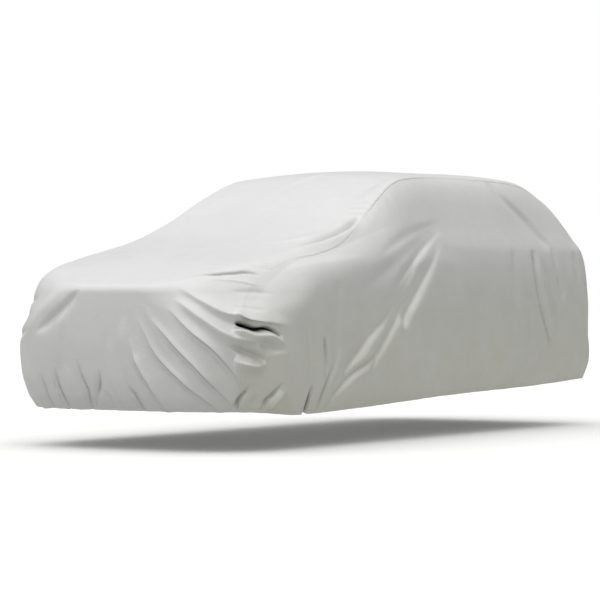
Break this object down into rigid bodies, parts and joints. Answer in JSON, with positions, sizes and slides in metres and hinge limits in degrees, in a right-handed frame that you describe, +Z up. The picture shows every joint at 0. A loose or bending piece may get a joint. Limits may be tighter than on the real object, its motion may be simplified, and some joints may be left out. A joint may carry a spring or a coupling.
{
  "type": "car cover",
  "caption": "Fitted three-panel outdoor cover of light grey coated cloth, draped in the shape of a five-door hatchback, open below, with deep folds at the front corner.",
  "frame": {"origin": "the hold point on the inner side of the cloth, under the middle of the roof, where the cover rests on what it protects; the ground is 1.704 m below it", "axes": "+Z up, -Y towards the nose, +X towards the left side of the covered vehicle"},
  "size_m": [1.9466, 4.542, 1.5208],
  "materials": {
    "centre_panel": "light grey coated woven cloth with a soft satin sheen",
    "left_side_panel": "light grey coated woven cloth with a soft satin sheen",
    "right_side_panel": "light grey coated woven cloth with a soft satin sheen"
  },
  "bodies": {
    "root": {"centre_panel": "centre_panel", "left_side_panel": "left_side_panel", "right_side_panel": "right_side_panel"}
  },
  "joints": []
}
